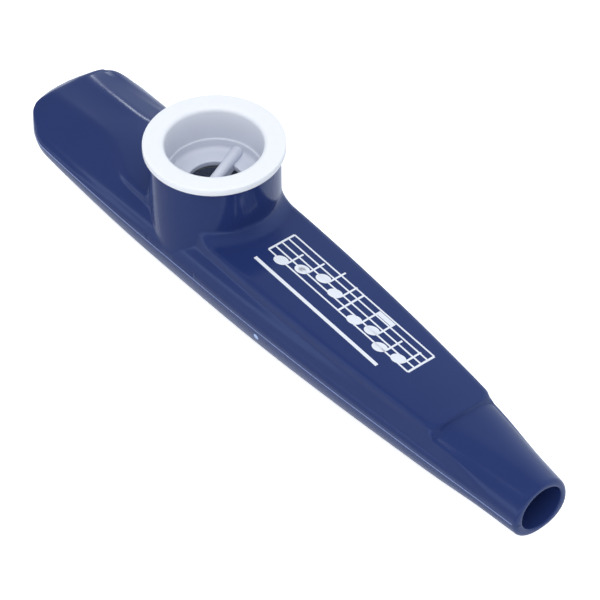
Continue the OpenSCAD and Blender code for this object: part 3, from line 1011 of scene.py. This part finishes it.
def rounded(profile, radii, steps=6):
    out = []
    n = len(profile)
    for i in range(n):
        b = np.array(profile[i], float)
        a, c = np.array(profile[i - 1], float), np.array(profile[(i + 1) % n], float)
        r = radii[i]
        p = b + (a - b) * min(r / np.linalg.norm(a - b), 0.49)
        q = b + (c - b) * min(r / np.linalg.norm(c - b), 0.49)
        for u in np.linspace(0, 1, steps):
            out.append(tuple((1 - u) ** 2 * p + 2 * u * (1 - u) * b + u * u * q))
    return out


cap_outline = [(CAP_HOLE_R, CAP_BOTTOM), (CUP_R, CAP_BOTTOM), (CUP_R, TURRET_TOP), (FLANGE_R, TURRET_TOP),
               (FLANGE_R, FLANGE_TOP), (CUP_BORE_R, FLANGE_TOP), (CUP_BORE_R, CUP_STEP_Z),
               (CUP_BORE_R - CUP_STEP, CUP_STEP_Z), (CUP_BORE_R - CUP_STEP, CUP_FOOT_Z),
               (CUP_BORE_R - CUP_FOOT, FLOOR_TOP), (CAP_HOLE_R, FLOOR_TOP)]
cap_radii = [0.15, 0.2, 0.1, 0.2, 0.3, 0.9, 0.3, 0.14, 0.5, 0.5, 0.25]
verts, faces = [], []
lathe(verts, faces, rounded(cap_outline, cap_radii), steps=200, closed=True)
make_piece("cap_body", verts, faces, white, "cap", "turret_cap", 50)

# %% [markdown]
# The grip bar is a small round-topped beam. It starts inside the cup's wall on both sides, and where it
# meets the floor it swells a little, as a moulded rib does.

# %% Grip bar
BAR_W = 1.9
BAR_TOP = 11.1
BAR_TURN = math.radians(114)
BAR_SWELL = 0.25
BAR_SINK = 0.1
BAR_FOOT = 0.1
BAR_DRAFT, BAR_DRAFT_UP = 0.02, 0.6


def bar_ring(s):
    swell = BAR_SWELL * (abs(s) / CUP_BORE_R) ** 6
    half = BAR_W / 2 + swell
    foot_z, draft_z = CAP_BOTTOM + BAR_FOOT, CAP_BOTTOM + BAR_DRAFT_UP
    ring = [(-half - BAR_FOOT, foot_z), (-half - BAR_DRAFT, draft_z), (-half, BAR_TOP - half)]
    for a in [math.radians(degrees) for degrees in np.linspace(180, 0, 15)[1:-1]]:
        ring.append((half * math.cos(a), BAR_TOP - half + half * math.sin(a) + swell * 0.6))
    ring += [(half, BAR_TOP - half), (half + BAR_DRAFT, draft_z), (half + BAR_FOOT, foot_z)]
    ring += [(0.0, CAP_BOTTOM), ring[0]]
    c, n = math.cos(BAR_TURN), math.sin(BAR_TURN)
    return [to_scene(TURRET_X + s * c - v * n, s * n + v * c, z) for v, z in ring]


verts, faces = [], []
bar_ends = CUP_BORE_R + BAR_SINK
strip(verts, faces, [bar_ring(s) for s in np.linspace(-bar_ends, bar_ends, 40)], flip=True)
make_piece("grip_bar", verts, faces, white, "cap", None, 60)

# %% [markdown]
# The membrane's ring lies on the ledge under the cap, and the film is stretched over its top. The film is
# drawn as a fine round net of faces, and a few long shallow wrinkles run in from its rim, as on any film
# that was pulled tight by hand.

# %% Ring and film
RING_R = 8.6
RING_HOLE_R = 5.8
RING_TOP = 8.9
RING_BEND = 0.15
FILM_LIFT = 0.05
FILM_INSET = 0.02
WRINKLE = 0.012
WRINKLE_AT, WRINKLE_REACH = 0.72, 0.28
verts, faces = [], []
ring_outline = [(RING_HOLE_R, SEAT_TOP), (RING_R, SEAT_TOP), (RING_R, RING_TOP), (RING_HOLE_R, RING_TOP)]
lathe(verts, faces, rounded(ring_outline, [RING_BEND] * 4), steps=128, closed=True)
make_piece("ring_body", verts, faces, grey, "resonator", "membrane_ring", 50)


def film_height(r, a):
    pull = max(0.0, 1 - abs(r / RING_HOLE_R - WRINKLE_AT) / WRINKLE_REACH)
    return RING_TOP + FILM_LIFT + WRINKLE * pull * (math.sin(9 * a) + 0.6 * math.sin(23 * a + 1.3))


verts, faces = [], []
film_rows = []
for r in np.linspace(FILM_INSET, RING_R - FILM_INSET, 40):
    film_rows.append([to_scene(TURRET_X + r * math.cos(a), r * math.sin(a), film_height(r, a))
                      for a in np.linspace(0, 2 * math.pi, 161)])
strip(verts, faces, film_rows, flip=True)
make_piece("film_body", verts, faces, film_clear, "resonator", "membrane_film", 60)
